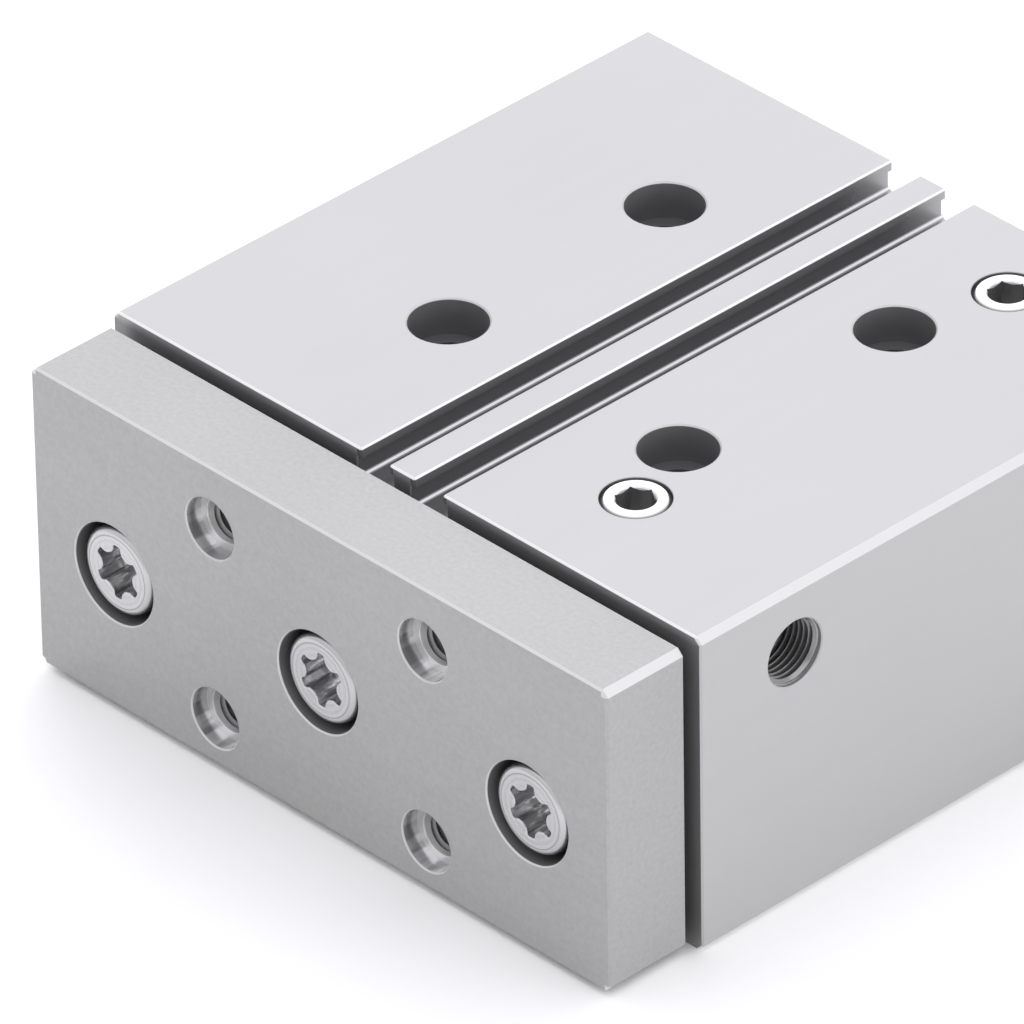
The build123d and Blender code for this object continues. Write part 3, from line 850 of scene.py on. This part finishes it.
# The section of one ridge, a ring of four edges in the XZ plane that is narrow at the crest
def ridgeSection(name, cut):
    bpy.ops.object.select_all(action="DESELECT")
    root = cut["wall"] + cut["bury"]
    middle = (root + cut["crest"]) / 2
    bpy.ops.mesh.primitive_plane_add(size=1, rotation=(pi / 2, 0, 0))
    piece = bpy.context.object
    piece.name = name
    piece.scale = (root - cut["crest"], cut["pitch"] * cut["rootShare"], 1)
    piece.location = (middle, 0, -cut["pitch"])
    bpy.ops.object.transform_apply(location=True, rotation=True, scale=True)
    pick(piece, lambda place: place.x < middle)
    bpy.ops.transform.resize(
        value=(1, 1, cut["crestShare"] / cut["rootShare"]),
        center_override=(cut["crest"], 0, -cut["pitch"]),
    )
    bpy.ops.mesh.select_all(action="SELECT")
    bpy.ops.mesh.delete(type="ONLY_FACE")
    bpy.ops.object.mode_set(mode="OBJECT")
    return piece


# The ridges of one thread: the section turned about Z from below z = 0, where the hole's
# mouth is, and cut back by the cone of its countersink
def ridges(name, cut):
    piece = ridgeSection(name, cut)
    turns = piece.modifiers.new("Turns", "SCREW")
    turns.angle = 2 * pi
    turns.screw_offset = cut["pitch"]
    turns.iterations = cut["turns"]
    turns.steps = cut["steps"]
    turns.render_steps = cut["steps"]
    turns.use_merge_vertices = False
    bpy.ops.object.modifier_apply(modifier=turns.name)
    bpy.ops.object.mode_set(mode="EDIT")
    bpy.ops.mesh.select_all(action="SELECT")
    bpy.ops.mesh.remove_doubles(threshold=cut["merge"])
    bpy.ops.mesh.fill_holes(sides=4)  # both ends of the ridge
    bpy.ops.mesh.select_all(action="SELECT")
    bpy.ops.mesh.normals_make_consistent(inside=False)
    bpy.ops.object.mode_set(mode="OBJECT")

    bpy.ops.mesh.primitive_cone_add(
        vertices=cut["coneSides"],
        radius1=cut["mouth"] + cut["reach"],
        radius2=0,
        depth=cut["mouth"] + cut["reach"],
        location=(0, 0, (cut["mouth"] - cut["reach"]) / 2),
    )
    countersink = bpy.context.object
    trim = piece.modifiers.new("Countersink", "BOOLEAN")
    trim.operation = "DIFFERENCE"
    trim.solver = "EXACT"
    trim.object = countersink
    bpy.ops.object.select_all(action="DESELECT")
    piece.select_set(True)
    bpy.context.view_layer.objects.active = piece
    bpy.ops.object.modifier_apply(modifier=trim.name)
    bpy.data.objects.remove(countersink)
    bpy.ops.object.shade_smooth_by_angle(angle=cut["smoothAngle"])
    return piece


# A copy of the ridges in each hole, with its own mesh. turn takes the ridges' Z to the
# direction that the hole runs in.
def threadHoles(name, cut, turn, mouths, body, material):
    model = ridges(name, cut)
    for label, mouth in mouths.items():
        piece = model.copy()
        piece.data = model.data.copy()
        piece.name = name + label
        piece.data.name = name + label
        scene.collection.objects.link(piece)
        piece.data.transform(Matrix.Translation(Vector(mouth)) @ turn)
        piece.data.materials.clear()
        piece.data.materials.append(material)
        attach(piece, body)
    bpy.data.objects.remove(model)


# Threads in the yoke plate, behind their centring recesses
toolThread = dict(
    cutThread,
    wall=3.0 * mm,
    crest=2.46 * mm,
    pitch=1.0 * mm,
    turns=11,
    steps=40,
    mouth=3.35 * mm,
)
inwards = Matrix.Rotation(-pi / 2, 4, "X")
toolMouths = {
    sideLabel + rowLabel: (x, plateLow.y + places["toolDepth"], z)
    for sideLabel, x in (("Left", -places["toolX"]), ("Right", places["toolX"]))
    for rowLabel, z in (("Low", places["toolLow"]), ("High", places["toolHigh"]))
}
threadHoles(
    "toolThread", toolThread, inwards, toolMouths, "moving_yoke", plateFinish
)
print("yoke plate threads cut")

# Threads in the two open ports on the right side
portThread = dict(
    cutThread,
    wall=4.865 * mm,
    crest=4.28 * mm,
    pitch=0.907 * mm,
    turns=9,
    steps=56,
    mouth=5.6 * mm,
)
fromRight = Matrix.Rotation(-pi / 2, 4, "Y")
portMouths = {
    "Front": (bodyHigh.x, places["portFront"], places["portHeight"]),
    "Rear": (bodyHigh.x, places["portRear"], places["portHeight"]),
}
threadHoles(
    "portThread",
    portThread,
    fromRight,
    portMouths,
    "housing_unit",
    housingFinish,
)
print("side port threads cut")

# Threads under the body, below the mounting holes
footThread = dict(
    cutThread,
    wall=4.0 * mm,
    crest=3.38 * mm,
    pitch=1.25 * mm,
    turns=11,
    steps=44,
    mouth=4.5 * mm,
)
upwards = Matrix.Identity(4)
footMouths = {
    sideLabel + endLabel: (x, bodyMiddle + y, 0)
    for sideLabel, x in (("Left", -places["mountX"]), ("Right", places["mountX"]))
    for endLabel, y in (("Front", -places["mountY"]), ("Rear", places["mountY"]))
}
threadHoles(
    "footThread",
    footThread,
    upwards,
    footMouths,
    "housing_unit",
    housingFinish,
)
print("foot threads cut")

# Plain pale floor
floorLook = {"colour": (0.99, 0.99, 0.98, 1), "rough": 0.8, "size": 8.0}
bpy.ops.object.select_all(action="DESELECT")
bpy.ops.mesh.primitive_plane_add(size=floorLook["size"])
floor = bpy.context.object
floor.name = "floor"
floorMaterial = bpy.data.materials.new("paleFloor")
floorMaterial.use_nodes = True
floorShader = floorMaterial.node_tree.nodes["Principled BSDF"]
floorShader.inputs["Base Color"].default_value = floorLook["colour"]
floorShader.inputs["Roughness"].default_value = floorLook["rough"]
floor.data.materials.append(floorMaterial)

# Soft studio light: a pale room that is brighter behind the part than in front of it, a
# large softbox above and behind, and one at the right
lightSetup = {
    "roomFront": (0.57, 0.575, 0.56),
    "roomBack": (1.0, 1.0, 1.0),
    "backRise": (-1, 1),
    "roomTop": (1.0, 0.985, 1.055),
    "topRise": (0.25, 0.9),
    "roomStrength": 1.30,
    "boxes": {
        "above": {"place": (-1.0, 1.0, 1.3), "size": 1.4, "watts": 5.5},
        "right": {"place": (1.7, 0.3, 0.5), "size": 1.2, "watts": 5},
    },
    "aim": (0, 0, 0.03),
}
world = bpy.data.worlds.new("studio")
world.use_nodes = True
sky = world.node_tree
background = sky.nodes["Background"]
skyParts = separated(sky, addNode(sky, "ShaderNodeTexCoord").outputs["Generated"])
behind = mapRange(sky, skyParts[1], *lightSetup["backRise"])
overhead = mapRange(sky, skyParts[2], *lightSetup["topRise"])
room = blendColours(sky, behind, lightSetup["roomFront"], lightSetup["roomBack"])
room = blendColours(sky, overhead, room, lightSetup["roomTop"])
sky.links.new(room, background.inputs["Color"])
background.inputs["Strength"].default_value = lightSetup["roomStrength"]
scene.world = world
for name, box in lightSetup["boxes"].items():
    data = bpy.data.lights.new(name, "AREA")
    data.shape = "SQUARE"
    data.size = box["size"]
    data.energy = box["watts"]
    lamp = bpy.data.objects.new(name, data)
    lamp.location = box["place"]
    towards = Vector(lightSetup["aim"]) - Vector(box["place"])
    lamp.rotation_euler = towards.to_track_quat("-Z", "Y").to_euler()
    scene.collection.objects.link(lamp)
scene.view_settings.view_transform = "Standard"
print("floor and light placed")

# The camera stands where the photograph's did: a long lens from the front right, above.
cameraSetup = {
    "sensor": 36,
    "lens": 523.4,
    "azimuth": 46.38,
    "elevation": 33.80,
    "roll": -0.943,
    "distance": 1.967,
    "aim": (-0.01043, -0.01168, 0.02374),
    "clipEnd": 20,
}
cameraData = bpy.data.cameras.new("camera")
cameraData.sensor_width = cameraSetup["sensor"]
cameraData.lens = cameraSetup["lens"]
cameraData.clip_end = cameraSetup["clipEnd"]
camera = bpy.data.objects.new("camera", cameraData)
level = Euler((radians(90 - cameraSetup["elevation"]), 0, radians(cameraSetup["azimuth"])))
turned = level.to_matrix() @ Matrix.Rotation(radians(cameraSetup["roll"]), 3, "Z")
camera.rotation_euler = turned.to_euler()
backwards = turned @ Vector((0, 0, 1))
camera.location = Vector(cameraSetup["aim"]) + backwards * cameraSetup["distance"]
scene.collection.objects.link(camera)
scene.camera = camera
print("camera set")
